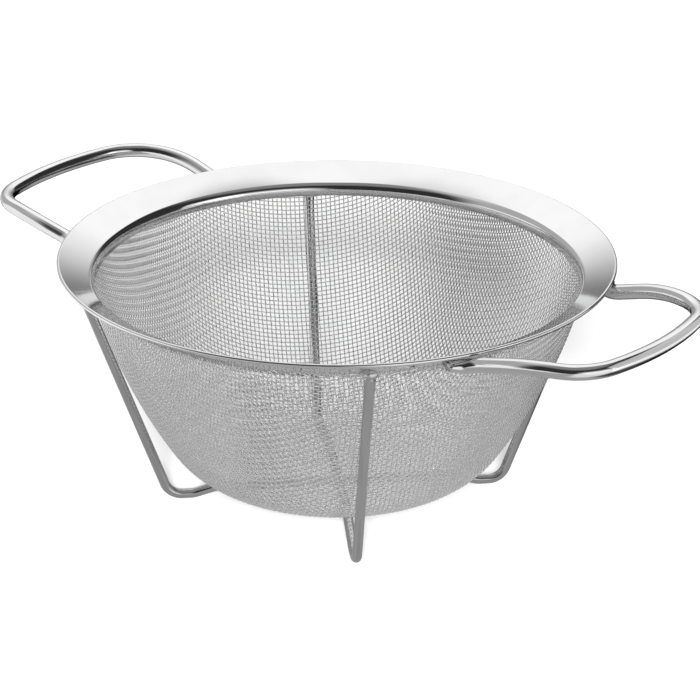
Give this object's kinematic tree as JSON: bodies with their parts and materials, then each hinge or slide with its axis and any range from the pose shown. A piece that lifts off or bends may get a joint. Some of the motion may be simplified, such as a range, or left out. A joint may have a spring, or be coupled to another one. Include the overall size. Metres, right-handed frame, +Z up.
{
  "type": "mesh colander",
  "caption": "Footed kitchen colander: deep woven wire mesh bowl under a flanged round rim, with bent wire side handles and crossed bent wire legs, for draining and rinsing food.",
  "frame": {"origin": "on the table under the middle of the bowl, at the bottom centre of the bounding box", "axes": "+X through the middle of one handle, the longest way across; +Z up out of the bowl's mouth"},
  "size_m": [0.3758, 0.268, 0.1307],
  "materials": {
    "rim_steel": "mirror-polished stainless sheet",
    "mesh_steel": "bright drawn stainless wire, plain weave",
    "wire_steel": "polished stainless wire",
    "weld_steel": "fused weld metal, lightly polished"
  },
  "bodies": {
    "root": {"rim_ring": "rim_steel", "mesh_bowl": "mesh_steel", "leg_wire_upper": "wire_steel", "leg_wire_lower": "wire_steel", "leg_weld_front": "weld_steel", "leg_weld_right": "weld_steel", "leg_weld_back": "weld_steel", "leg_weld_left": "weld_steel", "handle_right": "wire_steel", "handle_weld_right_a": "weld_steel", "handle_weld_right_b": "weld_steel", "handle_left": "wire_steel", "handle_weld_left_a": "weld_steel", "handle_weld_left_b": "weld_steel"}
  },
  "joints": []
}
